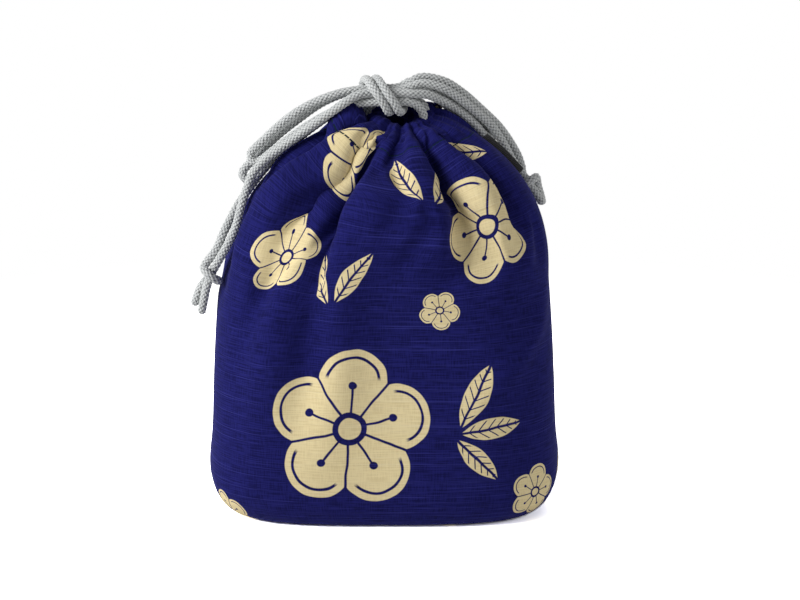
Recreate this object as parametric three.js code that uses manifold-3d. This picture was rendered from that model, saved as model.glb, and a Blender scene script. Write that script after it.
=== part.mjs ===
// Cotton drawstring pouch, standing full and drawn shut, its two braided cords tied in a bow on top.
// Millimetres, +Z up, the front of the pouch faces -Y, and the origin is the middle of the base.
import * as THREE from "three";
import { mergeVertices } from "three/addons/utils/BufferGeometryUtils.js";
import Module from "manifold-3d";

const wasm = await Module();
wasm.setup();

// Cloth bag: sizes of the filled and closed body.
const BASE_WIDTH = 162;
const BASE_DEPTH = 92;
const BASE_EDGE_HEIGHT = 20;
const BELLY_WIDTH = 190;
const BELLY_DEPTH = 116;
const SHOULDER_WIDTH = 180;
const SHOULDER_DEPTH = 110;
const SHOULDER_HEIGHT = 130;
const SHOULDER_FALL = 2.2;
const SHOULDER_DRAW = 0.7;
const NECK_WIDTH = 38;
const NECK_DEPTH = 35;
const NECK_HEIGHT = 216;
const NECK_OFFSET = 9;
const NECK_LEAN = 1.5;
const RIM_RISE = 3.5;
const RIM_TILT = 6;
const HEM_LIFT = 4;
const HEM_ANGLE = 8;
const HEM_SPREAD = 17;
const MOUTH_WIDTH = 16;
const MOUTH_DEPTH = 18;
const MOUTH_TAPER = 0.5;
const BASE_SQUARENESS = 3.4;
const SHOULDER_SQUARENESS = 2.5;
const NECK_SQUARENESS = 2;

// Gathers: small pleats that the drawn channel sets into the cloth, not quite evenly spaced. They start and
// are fully formed at these shares of the rise from shoulder to neck.
const GATHERS = 15;
const GATHER_HEIGHT = 1.8;
const GATHER_START = 0.55;
const GATHER_FULL = 0.97;
const GATHER_STRAY = 1.1;
const GATHER_STRAYS = 3;

// Folds that the drawn neck throws over the shoulders, the hollows that the hanging cords lie in, and the
// long rounds down the filled sides. Each runs down through points of share of the rise, turn in degrees
// (0 right, 90 back, 180 left, 270 front), height and half width.
const FOLDS = {
  leftPleat: [
    [1, 240, -2, 5], [0.89, 234, -6, 6], [0.76, 226, -9, 7], [0.64, 218, -8, 8], [0.5, 212, -4, 9],
    [0.35, 208, 0, 9]],
  leftPleatBack: [
    [1, 226, 2, 4], [0.87, 220, 4, 7], [0.75, 211, 5, 9], [0.6, 204, 5, 10], [0.35, 202, 3, 11],
    [0, 203, 0, 12]],
  frontLeftCrest: [
    [1, 248, 1, 4], [0.88, 244, 2, 5], [0.74, 237, 3, 7], [0.6, 230, 4, 9], [0.4, 222, 3, 11],
    [0.1, 219, 0, 13]],
  frontLeftValley: [
    [1, 256, -2, 5], [0.88, 253, -4, 5], [0.63, 245, -7, 8], [0.5, 239, -7, 9], [0.38, 233, -5, 11],
    [0.15, 228, 0, 14]],
  middleCrest: [
    [1, 261, 1, 4], [0.89, 261, 2, 5], [0.73, 261, 4, 8], [0.55, 259, 4, 12], [0.3, 252, 0, 16]],
  middleValley: [
    [1, 270, -2, 5], [0.89, 272, -4, 5], [0.77, 274, -5, 6], [0.65, 277, -3, 8], [0.5, 280, 0, 10]],
  middleRightCrest: [
    [1, 281, 1, 4], [0.89, 284, 2, 5], [0.74, 287, 3, 7], [0.55, 290, 3, 10], [0.3, 292, 0, 14]],
  frontRightValley: [
    [1, 292, -2, 5], [0.89, 296, -6, 5], [0.78, 300, -9, 6], [0.66, 303, -8, 7], [0.5, 305, -4, 8],
    [0.3, 306, 0, 10]],
  frontRightCrest: [
    [1, 303, 1, 4], [0.9, 308, 3, 6], [0.7, 313, 4, 8], [0.5, 313, 3, 10], [0.25, 312, 0, 13]],
  rightValley: [
    [1, 324, -2, 4], [0.8, 326, -6, 7], [0.56, 323, -5, 9], [0.35, 320, -2, 10], [0.15, 318, 0, 12]],
  rightCrest: [[1, 338, 2, 4], [0.85, 341, 4, 7], [0.6, 340, 4, 9], [0.3, 336, 0, 13]],
  rightCordHollow: [
    [0.98, 358, 0, 6], [0.85, 359, -4, 8], [0.6, 360, -6, 11], [0.4, 361, -4, 12], [0.2, 361, 0, 12]],
  backRightValley: [[1, 24, -3, 4], [0.85, 29, -7, 6], [0.6, 31, -9, 7], [0.35, 28, -6, 8], [0, 25, 0, 9]],
  backRightCrest: [[1, 48, 2, 4], [0.85, 44, 5, 7], [0.6, 42, 5, 9], [0.2, 38, 0, 12]],
  backMiddleRight: [
    [0.85, 76, 0, 5], [0.65, 71, -7, 7], [0.45, 66, -6, 8], [0.2, 60, -4, 9], [-0.1, 55, 0, 12]],
  backMiddleValley: [[1, 88, -3, 4], [0.84, 88, -6, 6], [0.65, 87, 0, 8]],
  backMiddleLeft: [
    [0.85, 102, 0, 5], [0.65, 101, -7, 7], [0.45, 103, -6, 8], [0.2, 107, -4, 9], [-0.1, 112, 0, 12]],
  backLeftCrest: [
    [0.85, 115, 0, 5], [0.6, 119, 5, 7], [0.35, 123, 5, 8], [0.1, 128, 2, 9], [-0.1, 132, 0, 10]],
  backLeftValley: [
    [1, 120, -3, 4], [0.8, 128, -6, 6], [0.5, 134, -9, 7], [0.3, 139, -7, 8], [-0.2, 148, 0, 9]],
  leftBackCrest: [[1, 142, 1, 4], [0.8, 145, 4, 6], [0.5, 150, 5, 8], [0.2, 154, 2, 9], [0, 157, 0, 10]],
  leftBackValley: [
    [1, 160, -3, 4], [0.8, 163, -6, 6], [0.5, 166, -7, 7], [0.2, 168, -4, 9], [-0.1, 170, 0, 10]],
  leftCordHollow: [
    [0.75, 188, 0, 16], [0.6, 187, -5, 16], [0.4, 187, -8, 17], [0.2, 187, -6, 18], [-0.1, 187, 0, 20]],
  frontLeftRound: [
    [0.25, 232, 0, 12], [0, 230, 3, 13], [-0.4, 228, 4, 14], [-0.9, 227, 2, 15], [-1.3, 226, 0, 15]],
  frontRightRound: [[0.3, 320, 0, 12], [0, 321, 2.5, 14], [-0.5, 321, 3, 16], [-1.3, 322, 0, 16]],
  frontDip: [[0.3, 272, 0, 20], [-0.2, 272, -2.5, 24], [-0.8, 272, -2, 24], [-1.3, 272, 0, 20]],
  backDip: [[0.2, 90, 0, 20], [-0.2, 90, -2.5, 24], [-0.8, 90, -2, 24], [-1.3, 90, 0, 20]],
};

// Boxed corners: the sewn-off corners of the bottom push out a little at the foot of each side seam.
const CORNER_BULGE = 2.5;
const CORNER_HEIGHT = 24;
const CORNER_REACH = 16;
const CORNER_SPREAD = 14;

// Cords: two braided cords, each once round the channel with both ends out on its own side.
const CORD_DIAMETER = 5;
const CORD_SIDES = 8;
const CORD_STEPS = 80;
const CHANNEL_RADIUS = 13;
const CHANNEL_CLEARANCE = 0.3;
const CHANNEL_STEP = 24;
const PRESS_GAP = 0.15;
const RIGHT_CHANNEL_HEIGHT = NECK_HEIGHT - 4.5;
const LEFT_CHANNEL_HEIGHT = RIGHT_CHANNEL_HEIGHT - 5.6;
const KNOT_TURN_RADIUS = 5;
const KNOT_TURN_PITCH = 6;

// Woven label, folded double and caught in the right side seam.
const LABEL_LENGTH = 28;
const LABEL_STANDOUT = 5;
const LABEL_ROOT = 2.5;
const LABEL_THICKNESS = 1.1;
const LABEL_DROP = 22;
const LABEL_HEIGHT = NECK_HEIGHT - LABEL_DROP;
const SEAM_CLEARANCE = 0.3;
const SEAM_SAMPLES = 400;

// Fineness of the cloth surface.
const COLUMNS = 112;
const EDGE_RINGS = 4;
const SIDE_RINGS = 6;
const SHOULDER_RINGS = 20;
const RIM_RINGS = 5;

const DEGREES = Math.PI / 180;

const cloth = new THREE.MeshStandardMaterial({ color: 0x222263, roughness: 0.9, metalness: 0 });
const cordGrey = new THREE.MeshStandardMaterial({ color: 0xb9baba, roughness: 0.8, metalness: 0 });
const labelBlack = new THREE.MeshStandardMaterial({ color: 0x232322, roughness: 0.7, metalness: 0 });

const { lerp, smoothstep } = THREE.MathUtils;

// Closed geometry as a solid that can be joined or cut.
function solidOf(geometry) {
  const bare = geometry.clone();
  bare.deleteAttribute("normal");
  bare.deleteAttribute("uv");
  const merged = mergeVertices(bare, 1e-3);
  return new wasm.Manifold(
    new wasm.Mesh({
      numProp: 3,
      vertProperties: new Float32Array(merged.attributes.position.array),
      triVerts: new Uint32Array(merged.index.array),
    }),
  );
}

// The main body of a cut solid, without the crumbs pinched off between two strands.
function mainBody(solid) {
  return solid.decompose().reduce((best, body) => (body.volume() > best.volume() ? body : best));
}

// A solid as a named mesh.
function meshOf(name, solid, material) {
  const made = solid.getMesh();
  const geometry = new THREE.BufferGeometry();
  geometry.setAttribute("position", new THREE.BufferAttribute(made.vertProperties, made.numProp));
  geometry.setIndex(new THREE.BufferAttribute(made.triVerts, 1));
  geometry.computeVertexNormals();
  const mesh = new THREE.Mesh(geometry, material);
  mesh.name = name;
  return mesh;
}

// One level ring of the smooth body: its height, half sizes, squareness, sideways place, and its rise,
// which is 0 where the shoulder starts, 1 at the neck and below 0 on the sides.
function ring(z, halfWidth, halfDepth, squareness) {
  const rise = (z - SHOULDER_HEIGHT) / (NECK_HEIGHT - SHOULDER_HEIGHT);
  const shift = NECK_OFFSET * Math.max(rise, 0) ** NECK_LEAN;
  return { z, halfWidth, halfDepth, squareness, rise, shift: Math.min(shift, NECK_OFFSET) };
}

// The rings from the flat base up the sides, over the shoulder and the rolled rim, and down into the mouth.
function bodyRings() {
  const rings = [];
  for (const share of [0.6, 1]) {
    rings.push(ring(0, (BASE_WIDTH / 2) * share, (BASE_DEPTH / 2) * share, BASE_SQUARENESS));
  }
  for (let i = 1; i <= EDGE_RINGS; i++) {
    const turn = (i / EDGE_RINGS) * (Math.PI / 2);
    const out = Math.sin(turn);
    rings.push(
      ring(
        BASE_EDGE_HEIGHT * (1 - Math.cos(turn)),
        lerp(BASE_WIDTH, BELLY_WIDTH, out) / 2,
        lerp(BASE_DEPTH, BELLY_DEPTH, out) / 2,
        BASE_SQUARENESS,
      ),
    );
  }
  for (let i = 1; i <= SIDE_RINGS; i++) {
    const up = i / SIDE_RINGS;
    rings.push(
      ring(
        lerp(BASE_EDGE_HEIGHT, SHOULDER_HEIGHT, up),
        lerp(BELLY_WIDTH, SHOULDER_WIDTH, up * up) / 2,
        lerp(BELLY_DEPTH, SHOULDER_DEPTH, up * up) / 2,
        lerp(BASE_SQUARENESS, SHOULDER_SQUARENESS, up),
      ),
    );
  }
  for (let i = 1; i <= SHOULDER_RINGS; i++) {
    const rise = Math.sin((i / SHOULDER_RINGS) * (Math.PI / 2));
    const share = Math.max(1 - rise ** SHOULDER_FALL, 0) ** SHOULDER_DRAW;
    rings.push(
      ring(
        lerp(SHOULDER_HEIGHT, NECK_HEIGHT, rise),
        lerp(NECK_WIDTH, SHOULDER_WIDTH, share) / 2,
        lerp(NECK_DEPTH, SHOULDER_DEPTH, share) / 2,
        lerp(SHOULDER_SQUARENESS, NECK_SQUARENESS, rise),
      ),
    );
  }
  const neckOnMouth = (share, size) => lerp(MOUTH_WIDTH, size, share) / 2;
  for (let i = 1; i <= RIM_RINGS; i++) {
    const turn = (i / RIM_RINGS) * Math.PI;
    const share = (1 + Math.cos(turn)) / 2;
    rings.push(
      ring(
        NECK_HEIGHT + RIM_RISE * Math.sin(turn),
        neckOnMouth(share, NECK_WIDTH),
        neckOnMouth(share, NECK_DEPTH),
        NECK_SQUARENESS,
      ),
    );
  }
  for (const down of [0.5, 0.85]) {
    const half = (MOUTH_WIDTH / 2) * (1 - MOUTH_TAPER * down);
    rings.push(ring(NECK_HEIGHT - MOUTH_DEPTH * down, half, half, NECK_SQUARENESS));
  }
  return rings;
}

// Shortest way round from one angle to another, in degrees.
function turnBetween(from, to) {
  return ((((to - from + 180) % 360) + 360) % 360) - 180;
}

// The drawn mouth leans to the front, and its hem stands up at the right where the cord goes in.
function rimLift(angle) {
  const off = turnBetween(HEM_ANGLE, angle) / HEM_SPREAD;
  return RIM_TILT * Math.sin(angle * DEGREES) + HEM_LIFT * Math.exp(-off * off);
}

// A fold's share, turn, height and half width at a rise: straight between the points of its run, and level
// past its ends.
function foldAt(run, rise) {
  const lower = run.findIndex(([share]) => share <= rise);
  if (lower <= 0) {
    return run.at(lower);
  }
  const [from, to] = [run[lower], run[lower - 1]];
  const along = (rise - from[0]) / (to[0] - from[0]);
  return from.map((value, k) => lerp(value, to[k], along));
}

// How far the cloth stands off the smooth body at a turn, a rise and a distance from the middle line:
// gathers, corners, and folds that die out inside the mouth.
function foldHeight(turn, rise, z, radius) {
  const a = turn * DEGREES;
  const nearNeck = smoothstep(rise, GATHER_START, GATHER_FULL);
  const onOutside = smoothstep(radius, MOUTH_WIDTH / 2, NECK_DEPTH / 2);
  let height = GATHER_HEIGHT * nearNeck * Math.cos(GATHERS * a + GATHER_STRAY * Math.sin(GATHER_STRAYS * a));
  for (const run of Object.values(FOLDS)) {
    const [, middle, peak, halfWidth] = foldAt(run, rise);
    const off = (turnBetween(middle, turn) * DEGREES * radius) / halfWidth;
    height += onOutside * peak * Math.exp(-off * off);
  }
  for (const seam of [0, 180]) {
    const off = turnBetween(seam, turn) / CORNER_SPREAD;
    const level = (z - CORNER_HEIGHT) / CORNER_REACH;
    height += CORNER_BULGE * Math.exp(-off * off - level * level);
  }
  return z > 0 ? height * smoothstep(z, 0, BASE_EDGE_HEIGHT) : 0;
}

// The folded cloth surface as rows of spots, one row for each ring. A spot is a place and how far it stands
// off the smooth body.
function clothRows() {
  const rings = bodyRings();
  const smooth = rings.map((r) =>
    Array.from({ length: COLUMNS }, (_, j) => {
      const a = (j / COLUMNS) * 2 * Math.PI;
      const lift = rimLift(a / DEGREES) * smoothstep(r.rise, 0.7, 1);
      const c = Math.cos(a);
      const s = Math.sin(a);
      const reach = (Math.abs(c) ** r.squareness + Math.abs(s) ** r.squareness) ** (-1 / r.squareness);
      return new THREE.Vector3(r.shift + r.halfWidth * reach * c, r.halfDepth * reach * s, r.z + lift);
    }),
  );
  return smooth.map((row, i) =>
    row.map((point, j) => {
      const below = smooth[Math.max(i - 1, 0)][j];
      const above = smooth[Math.min(i + 1, rings.length - 1)][j];
      const next = row[(j + 1) % COLUMNS];
      const round = next.clone().sub(row[(j + COLUMNS - 1) % COLUMNS]);
      const outward = round.cross(new THREE.Vector3().subVectors(above, below)).normalize();
      const { shift, rise, z } = rings[i];
      const turn = Math.atan2(point.y, point.x - shift) / DEGREES;
      const standOff = foldHeight(turn, rise, z, Math.hypot(point.x - shift, point.y));
      return { place: point.clone().addScaledVector(outward, standOff), standOff };
    }),
  );
}

// The bag as one closed solid: rows of cloth closed by a point under the base and one in the mouth. Each
// patch of cloth is split along the diagonal that follows the folds, whose ends stand off most alike.
function bagSolid(rows) {
  const points = [new THREE.Vector3(0, 0, 0), ...rows.flat().map((spot) => spot.place)];
  points.push(new THREE.Vector3(NECK_OFFSET, 0, NECK_HEIGHT - MOUTH_DEPTH));
  const index = (i, j) => 1 + i * COLUMNS + (j % COLUMNS);
  const last = points.length - 1;
  const faces = [];
  for (let j = 0; j < COLUMNS; j++) {
    faces.push(0, index(0, j + 1), index(0, j));
    faces.push(last, index(rows.length - 1, j), index(rows.length - 1, j + 1));
    for (let i = 0; i + 1 < rows.length; i++) {
      const next = (j + 1) % COLUMNS;
      const [a, b, c, d] = [index(i, j), index(i, next), index(i + 1, next), index(i + 1, j)];
      const rising = Math.abs(rows[i][j].standOff - rows[i + 1][next].standOff);
      const falling = Math.abs(rows[i][next].standOff - rows[i + 1][j].standOff);
      faces.push(...(rising < falling ? [a, b, c, a, c, d] : [a, b, d, b, c, d]));
    }
  }
  const geometry = new THREE.BufferGeometry().setFromPoints(points);
  geometry.setIndex(faces);
  return solidOf(geometry);
}

// Label outline along the right side seam, standing out from the cloth and rooted in the seam. A margin
// widens it all round, which makes the slot that it sits in.
function labelSolid(rows, margin) {
  const seam = new THREE.CatmullRomCurve3(rows.map((row) => row[0].place));
  const samples = seam.getSpacedPoints(SEAM_SAMPLES);
  const middle = samples.findIndex((p) => p.z > LABEL_HEIGHT);
  const step = seam.getLength() / SEAM_SAMPLES;
  const half = LABEL_LENGTH / 2 + margin;
  const outer = [];
  const inner = [];
  for (let i = 0; i <= 6; i++) {
    const at = middle + Math.round(lerp(-half, half, i / 6) / step);
    const along = new THREE.Vector2(
      samples[at + 4].x - samples[at - 4].x,
      samples[at + 4].z - samples[at - 4].z,
    ).normalize();
    const out = new THREE.Vector2(along.y, -along.x);
    const foot = new THREE.Vector2(samples[at].x, samples[at].z);
    outer.push(foot.clone().addScaledVector(out, LABEL_STANDOUT + margin));
    inner.unshift(foot.clone().addScaledVector(out, -LABEL_ROOT - margin));
  }
  const thickness = LABEL_THICKNESS + 2 * margin;
  const tab = new THREE.ExtrudeGeometry(new THREE.Shape([...outer, ...inner]), {
    depth: thickness,
    bevelEnabled: false,
  });
  tab.rotateX(Math.PI / 2);
  tab.translate(0, samples[middle].y + thickness / 2, 0);
  return solidOf(tab);
}

// Stretch of the channel from one angle to another, at the height where that cord lies.
function channelArc(from, to, z) {
  const count = Math.ceil(Math.abs(to - from) / CHANNEL_STEP);
  return Array.from({ length: count + 1 }, (_, i) => {
    const a = lerp(from, to, i / count) * DEGREES;
    const lift = RIM_TILT * Math.sin(a);
    return [NECK_OFFSET + CHANNEL_RADIUS * Math.cos(a), CHANNEL_RADIUS * Math.sin(a), z + lift];
  });
}

// Tail knot: the second strand goes three quarters of a turn round the first, which runs down the axis.
function knotTurn(centre, axis, sideways) {
  const down = new THREE.Vector3(...axis).normalize();
  const side = new THREE.Vector3(...sideways).projectOnPlane(down).normalize();
  const across = new THREE.Vector3().crossVectors(down, side);
  return Array.from({ length: 7 }, (_, i) => {
    const a = -45 * i * DEGREES;
    return new THREE.Vector3(...centre)
      .addScaledVector(side, KNOT_TURN_RADIUS * Math.cos(a))
      .addScaledVector(across, KNOT_TURN_RADIUS * Math.sin(a))
      .addScaledVector(down, KNOT_TURN_PITCH * (i / 6 - 0.5))
      .toArray();
  });
}

// Routes of the four cord ends, from inside the channel to the cut tip. Each end of the right cord goes
// through the knot to a bow on the left and back over the top to the right tail. Each end of the left cord
// winds round the knot, makes the bow on the right, and comes back through the knot to the left tail.
const RIGHT_FRONT_ROUTE = [
  ...channelArc(172, 322, RIGHT_CHANNEL_HEIGHT),
  [21, -6, 211.5], [21.4, -5.3, 217], [18.5, -7, 222.5], [13, -9.6, 225.5], [6, -10.4, 225.4],
  [-6, -10, 225.4], [-15, -8.8, 224.3], [-29, -8.5, 219], [-42, -8.5, 211.5], [-54, -8.5, 203],
  [-60.5, -8.4, 197.7], [-66, -8, 193.4], [-68.5, -7.6, 192.6], [-70.7, -7.2, 193.8], [-71.4, -6.8, 196.3],
  [-70.1, -6.4, 198.7], [-64.5, -6, 204], [-56.5, -6, 211.5], [-44.5, -6, 220.5], [-31, -6, 227],
  [-18, -5.5, 230.5], [-6, -5.2, 230.7], [6, -5.2, 230.8], [12, -5, 231.8], [20.5, -3.5, 234.3],
  [31, -1.5, 231.8], [39.5, 2, 226.5], [50, 7, 217.5], [58, 11, 209.5], [64.5, 14, 200],
  [71, 17, 188], [76.5, 18.4, 180.5], [81, 18.4, 174], [84.5, 18, 169], [88, 17.5, 164],
];
const RIGHT_BACK_ROUTE = [
  ...channelArc(188, 40, RIGHT_CHANNEL_HEIGHT),
  [21, 5.2, 214], [22.2, 2.8, 215.3], [22.4, 1, 218], [21.7, -0.4, 221.5], [18.8, -2, 224.4],
  [13, -4, 225.6], [6, -5.2, 225.6], [-6, -5, 225.5], [-15, -3.4, 223.7], [-29, -3, 217],
  [-42.5, -3, 207.5], [-56, -3, 197], [-66, -2.6, 187.3], [-70.7, -2.2, 182.8], [-73.1, -1.8, 181.7],
  [-75.5, -1.4, 182.7], [-76.4, -1, 185.1], [-75.2, -0.7, 187.5], [-68, -0.5, 195], [-58, -0.5, 205],
  [-46, -0.5, 214.5], [-33, -0.3, 223.5], [-18, 0, 229.5], [-6, 0, 231.1], [6, 0, 231.4],
  [12, 0.6, 233], [19.5, 2, 236.8], [32, 4.5, 234.5], [42, 8, 228], [54, 13, 216.8],
  [62.5, 17, 208], [69.5, 20.8, 198], [74.5, 23, 188.5],
  ...knotTurn([78, 18.5, 178.3], [5, 0, -6.5], [0, 1, 0]),
  [85, 21.5, 173.5], [86.5, 23, 168.5], [88, 23, 162.5],
];
const LEFT_FRONT_ROUTE = [
  ...channelArc(368, 190, LEFT_CHANNEL_HEIGHT),
  [-6.5, 1.5, 206.5], [-8.3, 3.8, 210.5], [-8.8, 5, 217], [-10.5, 6.6, 224.5], [-11.4, 6.6, 229.7],
  [-10.6, 3.8, 234.6], [-8.8, -4, 236.4], [-6.6, -12, 235], [-3.5, -15.9, 230.8], [0, -15.8, 226],
  [2.5, -13, 221], [4, -7, 220.2], [5.2, -1, 220.6], [6.5, 4.8, 224], [8.5, 6, 229.5],
  [13, 6.8, 233.4], [21.5, 8, 233], [30.5, 10, 228.5], [39, 12.3, 223.5], [46, 15, 217],
  [52, 17.8, 211.5], [55.3, 18.6, 208.5], [58.2, 18, 205.5], [59.5, 15.6, 203], [58.3, 13, 201.8],
  [55, 11.5, 203.5], [49.5, 9, 210], [40.5, 5.5, 218.5], [34, 1.5, 223], [28.5, -2, 226],
  [23.5, -5.5, 228.5], [15, -9.6, 229.8], [6, -10.4, 230.5], [-6, -10.4, 230.4], [-14, -12, 229.2],
  [-21, -13.8, 225.3], [-30, -14, 219], [-39, -14, 212.5], [-46, -14, 207.5], [-55, -14, 201],
  [-63, -14, 195], [-69.5, -14, 188], [-73.5, -15, 178.5], [-77, -16, 167], [-80, -16, 157],
  [-84.5, -17, 148], [-89.5, -17, 139.5], [-93.5, -16.3, 132], [-95.8, -16.3, 125.5], [-97.5, -16, 118],
  [-99.3, -15.3, 110],
];
const LEFT_BACK_ROUTE = [
  ...channelArc(-8, 118, LEFT_CHANNEL_HEIGHT),
  [-1.5, 12.2, 210.5], [-4.8, 12, 213.5], [-5.8, 11.2, 219], [-5.8, 9.8, 225.3], [-6.2, 7, 230.4],
  [-5.2, 3.6, 235], [-3.4, -4, 236.6], [-1, -12, 235], [2.1, -15.9, 230.8], [5.7, -15.8, 226],
  [8.2, -13, 221], [9.6, -7, 220.2], [10.6, -1, 220.6], [11.8, 4.8, 223.5], [14, 8.2, 227.5],
  [18, 11, 229], [23, 13, 228], [31, 15.5, 223.5], [39, 18, 217], [45.5, 20.5, 209.5],
  [52, 23.5, 207], [55.2, 24.3, 202.5], [56.6, 23, 198.6], [55, 20.2, 196.8], [51.6, 18, 199],
  [47.3, 15.5, 205], [43, 13, 210.5], [35.5, 8.8, 219], [28.8, 5.3, 225.3], [23, 3.6, 228.2],
  [17, 2.2, 229.4], [11, 0.4, 227.6], [6, 0, 227], [-6, 0.3, 227], [-15, 2, 225],
  [-24, 2.8, 219.5], [-33, 3, 213.5], [-45, 3, 204.5], [-58.5, 3.2, 193.5], [-67, 3.6, 184],
  [-73.5, 2.5, 175.5], [-79, -2.5, 168], [-83, -8, 161], [-86.5, -12, 154.5], [-90, -14, 146.5],
  ...knotTurn([-93.5, -16.3, 132], [-5.8, 0.5, -13], [-1, 0, 0.4]),
  [-98, -11.8, 126.5], [-100.8, -13.3, 121.5], [-103, -15, 114.5],
];

// A strand of cord along its route.
function strand(route, radius) {
  const section = new THREE.Shape(
    Array.from({ length: CORD_SIDES }, (_, i) => {
      const a = (i / CORD_SIDES) * 2 * Math.PI;
      return new THREE.Vector2(radius * Math.cos(a), radius * Math.sin(a));
    }),
  );
  const path = new THREE.CatmullRomCurve3(route.map((p) => new THREE.Vector3(...p)), false, "centripetal");
  return solidOf(
    new THREE.ExtrudeGeometry(section, { steps: CORD_STEPS, extrudePath: path, bevelEnabled: false }),
  );
}

// A whole cord: its two strands meet inside the channel.
function cord(front, back, extra) {
  const radius = CORD_DIAMETER / 2 + extra;
  return strand(front, radius).add(strand(back, radius));
}

const rows = clothRows();
const rightCord = cord(RIGHT_FRONT_ROUTE, RIGHT_BACK_ROUTE, 0);
const rightPress = cord(RIGHT_FRONT_ROUTE, RIGHT_BACK_ROUTE, PRESS_GAP);
const leftCord = cord(LEFT_FRONT_ROUTE, LEFT_BACK_ROUTE, 0).subtract(rightPress);
const pouch = bagSolid(rows)
  .subtract(cord(RIGHT_FRONT_ROUTE, RIGHT_BACK_ROUTE, CHANNEL_CLEARANCE))
  .subtract(cord(LEFT_FRONT_ROUTE, LEFT_BACK_ROUTE, CHANNEL_CLEARANCE))
  .subtract(labelSolid(rows, SEAM_CLEARANCE));

const group = new THREE.Group();
group.add(
  meshOf("pouch", mainBody(pouch), cloth),
  meshOf("left_cord", leftCord, cordGrey),
  meshOf("right_cord", rightCord, cordGrey),
  meshOf("side_label", labelSolid(rows, 0), labelBlack),
);

export default group;
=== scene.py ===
"""Cotton drawstring pouch, standing full and drawn shut, with its two braided cords tied in a bow on top.

Metres, +Z up, the front of the pouch faces -Y and the origin is the middle of its base.
"""
import math

import bmesh
import bpy
import numpy as np
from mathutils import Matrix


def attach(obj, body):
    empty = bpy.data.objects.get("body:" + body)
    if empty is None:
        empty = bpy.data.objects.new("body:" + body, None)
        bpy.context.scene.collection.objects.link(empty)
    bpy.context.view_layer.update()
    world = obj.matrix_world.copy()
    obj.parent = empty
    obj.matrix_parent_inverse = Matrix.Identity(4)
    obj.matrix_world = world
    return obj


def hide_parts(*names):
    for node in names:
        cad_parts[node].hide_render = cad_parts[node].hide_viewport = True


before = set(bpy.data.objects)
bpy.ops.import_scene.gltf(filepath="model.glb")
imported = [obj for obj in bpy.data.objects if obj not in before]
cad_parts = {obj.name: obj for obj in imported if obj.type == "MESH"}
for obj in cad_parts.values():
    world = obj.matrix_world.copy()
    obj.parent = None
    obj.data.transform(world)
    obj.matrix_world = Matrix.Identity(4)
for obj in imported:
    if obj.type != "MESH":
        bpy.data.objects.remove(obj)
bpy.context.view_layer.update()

# Pouch. A tube of slub cotton, sewn up both sides, boxed at the bottom and turned in at the mouth to hold
# the cords. It stands full, and the drawn cords gather its neck into pleats that run over the shoulders.
base_width, base_depth, base_edge = 0.162, 0.092, 0.020
belly_width, belly_depth = 0.190, 0.116
shoulder_width, shoulder_depth, shoulder_height = 0.180, 0.110, 0.130
shoulder_fall, shoulder_draw = 2.2, 0.7
neck_width, neck_depth, neck_height = 0.038, 0.035, 0.216
neck_offset, neck_lean = 0.009, 1.5
rim_rise, rim_tilt, rim_dip = 0.0035, 0.006, 0.003
hem_lift, hem_angle, hem_spread = 0.004, 8, 17
mouth_width, mouth_depth, mouth_taper = 0.009, 0.018, 0.5
base_squareness, shoulder_squareness, neck_squareness = 3.4, 2.5, 2.0
cloth_thickness = 0.0008
columns = 160
base_rows, edge_rows, side_rows, shoulder_rows, rim_rows, mouth_rows = 4, 6, 21, 35, 7, 4
gathered_rows = 4
shoulder_row = base_rows + edge_rows + side_rows - 1
rim_row = shoulder_row + shoulder_rows + 1
neck_row = rim_row - gathered_rows

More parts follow.
